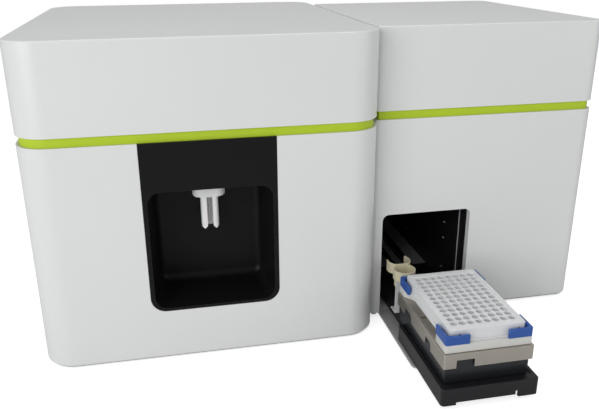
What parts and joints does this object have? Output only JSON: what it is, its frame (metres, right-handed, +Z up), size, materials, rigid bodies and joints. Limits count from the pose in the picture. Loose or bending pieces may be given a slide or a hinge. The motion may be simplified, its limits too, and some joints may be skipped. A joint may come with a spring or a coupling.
{
  "type": "flow cytometer",
  "caption": "Bench flow cytometer with hinged lids, a recessed sample port and a side plate loader with an extended microplate tray.",
  "frame": {"origin": "centre of the whole object's footprint, on the bench under the rubber feet, with the tray out", "axes": "+Z up, +X to the right and +Y to the back when the sample port and the tray face the viewer"},
  "size_m": [0.6528, 0.582, 0.354],
  "materials": {
    "white_shell": "smooth moulded white case skin",
    "white_lid": "smooth moulded white lid",
    "green_band": "satin lime green trim",
    "black_panel": "black moulded fascia",
    "white_guard": "white moulded tube guard",
    "door_grey": "grey inner face of the door",
    "liner_black": "black tunnel sheet",
    "tray_black": "black tray casting",
    "steel": "bead blasted stainless sheet",
    "bright_steel": "ground steel",
    "holder_grey": "pale grey plate holder",
    "corner_blue": "blue corner guides",
    "plate_clear": "polystyrene microplate",
    "holder_cream": "cream nylon",
    "sheet_metal": "pale grey painted sheet",
    "dark_metal": "dark anodised metal",
    "aluminium": "machined aluminium",
    "board_green": "circuit board",
    "rubber": "soft rubber",
    "clear_glass": "clear glass",
    "black_plastic": "black moulded plastic",
    "white_plastic": "white moulded plastic",
    "brass": "turned brass"
  },
  "bodies": {
    "root": {"base_pans": "sheet_metal", "link_plate": "sheet_metal", "rubber_feet": "rubber", "main_shell": "white_shell", "loader_shell": "white_shell", "lid_bands": "green_band", "hinge_leaves": "dark_metal", "front_fascia": "black_panel", "tube_guard": "white_guard", "probe_lift": "aluminium", "loader_liner": "liner_black", "tray_rails": "bright_steel", "screw_support": "aluminium", "tray_motor": "black_plastic", "needle_bridge": "aluminium", "wash_station": "white_plastic", "circuit_boards": "board_green", "optical_bench": "aluminium", "flow_cell": "dark_metal", "cuvette": "clear_glass", "lasers": "dark_metal", "collection_lens": "dark_metal", "filter_mounts": "aluminium", "detectors": "dark_metal", "optics_cover": "dark_metal", "syringe_pump": "aluminium", "syringe_barrel": "clear_glass", "valve_block": "white_plastic", "sheath_filter": "white_plastic", "power_supply": "sheet_metal", "rear_panels": "sheet_metal", "fan_frames": "black_plastic", "power_entry": "black_plastic", "data_sockets": "bright_steel", "hose_fittings": "white_plastic"},
    "main_lid": {"main_lid": "white_lid", "main_lid_hinges": "dark_metal"},
    "loader_lid": {"loader_lid": "white_lid", "loader_lid_hinges": "dark_metal"},
    "door": {"tray_door": "door_grey", "door_ears": "bright_steel"},
    "tray": {"tray_base": "tray_black", "tray_block": "dark_metal", "steel_carriage": "steel", "plate_holder": "holder_grey", "plate_corners": "corner_blue", "tube_holder": "holder_cream", "holder_bracket": "sheet_metal", "tray_runners": "dark_metal", "screw_nut": "brass"},
    "plate": {"microplate": "plate_clear"},
    "tray_screw": {"lead_screw": "bright_steel"},
    "needle_carrier": {"needle_carrier": "dark_metal"},
    "needle": {"loader_needle": "bright_steel"},
    "sample_probe": {"probe_carrier": "dark_metal", "sample_probe": "bright_steel"},
    "plunger": {"syringe_plunger": "white_plastic"},
    "main_fan": {"main_fan_rotor": "black_plastic"},
    "loader_fan": {"loader_fan_rotor": "black_plastic"},
    "power_rocker": {"power_rocker": "black_plastic"}
  },
  "joints": [
    {"name": "main_lid_hinge", "type": "hinge", "parent": "root", "child": "main_lid", "pos_m": [-0.1379, 0.285, 0.256], "axis": [-1, 0, 0], "range_deg": [0, 100]},
    {"name": "loader_lid_hinge", "type": "hinge", "parent": "root", "child": "loader_lid", "pos_m": [0.1905, 0.229, 0.256], "axis": [-1, 0, 0], "range_deg": [0, 100]},
    {"name": "door_hinge", "type": "hinge", "parent": "root", "child": "door", "pos_m": [0.12185, -0.093, 0.0082], "axis": [1, 0, 0], "range_deg": [0, 1], "stiffness_Nm_per_rad": 0.08, "springref_deg": -34.38},
    {"name": "tray_slide", "type": "slide", "parent": "root", "child": "tray", "axis": [0, 1, 0], "range_m": [0, 0.205]},
    {"name": "tray_screw_spin", "type": "hinge", "parent": "root", "child": "tray_screw", "pos_m": [0.12185, 0.059, 0.0135], "axis": [0, 1, 0], "range_deg": [0, 2953]},
    {"name": "plate_lift", "type": "slide", "parent": "tray", "child": "plate", "axis": [0, 0, 1], "range_m": [0, 0.03]},
    {"name": "needle_traverse", "type": "slide", "parent": "root", "child": "needle_carrier", "axis": [1, 0, 0], "range_m": [-0.1495, 0]},
    {"name": "needle_plunge", "type": "slide", "parent": "needle_carrier", "child": "needle", "axis": [0, 0, 1], "range_m": [-0.074, 0]},
    {"name": "probe_lift", "type": "slide", "parent": "root", "child": "sample_probe", "axis": [0, 0, 1], "range_m": [0, 0.03]},
    {"name": "plunger_draw", "type": "slide", "parent": "root", "child": "plunger", "axis": [0, 0, 1], "range_m": [-0.05, 0]},
    {"name": "main_fan_spin", "type": "hinge", "parent": "root", "child": "main_fan", "pos_m": [-0.0494, 0.266, 0.18], "axis": [0, 1, 0], "continuous": true},
    {"name": "loader_fan_spin", "type": "hinge", "parent": "root", "child": "loader_fan", "pos_m": [0.2464, 0.21, 0.195], "axis": [0, 1, 0], "continuous": true},
    {"name": "power_switch", "type": "hinge", "parent": "root", "child": "power_rocker", "pos_m": [-0.1924, 0.2738, 0.069], "axis": [1, 0, 0], "range_deg": [0, 16]}
  ],
  "couplings": [
    {"joint": "tray_screw_spin", "follows": "tray_slide", "rad_per_m": 251.33}
  ]
}
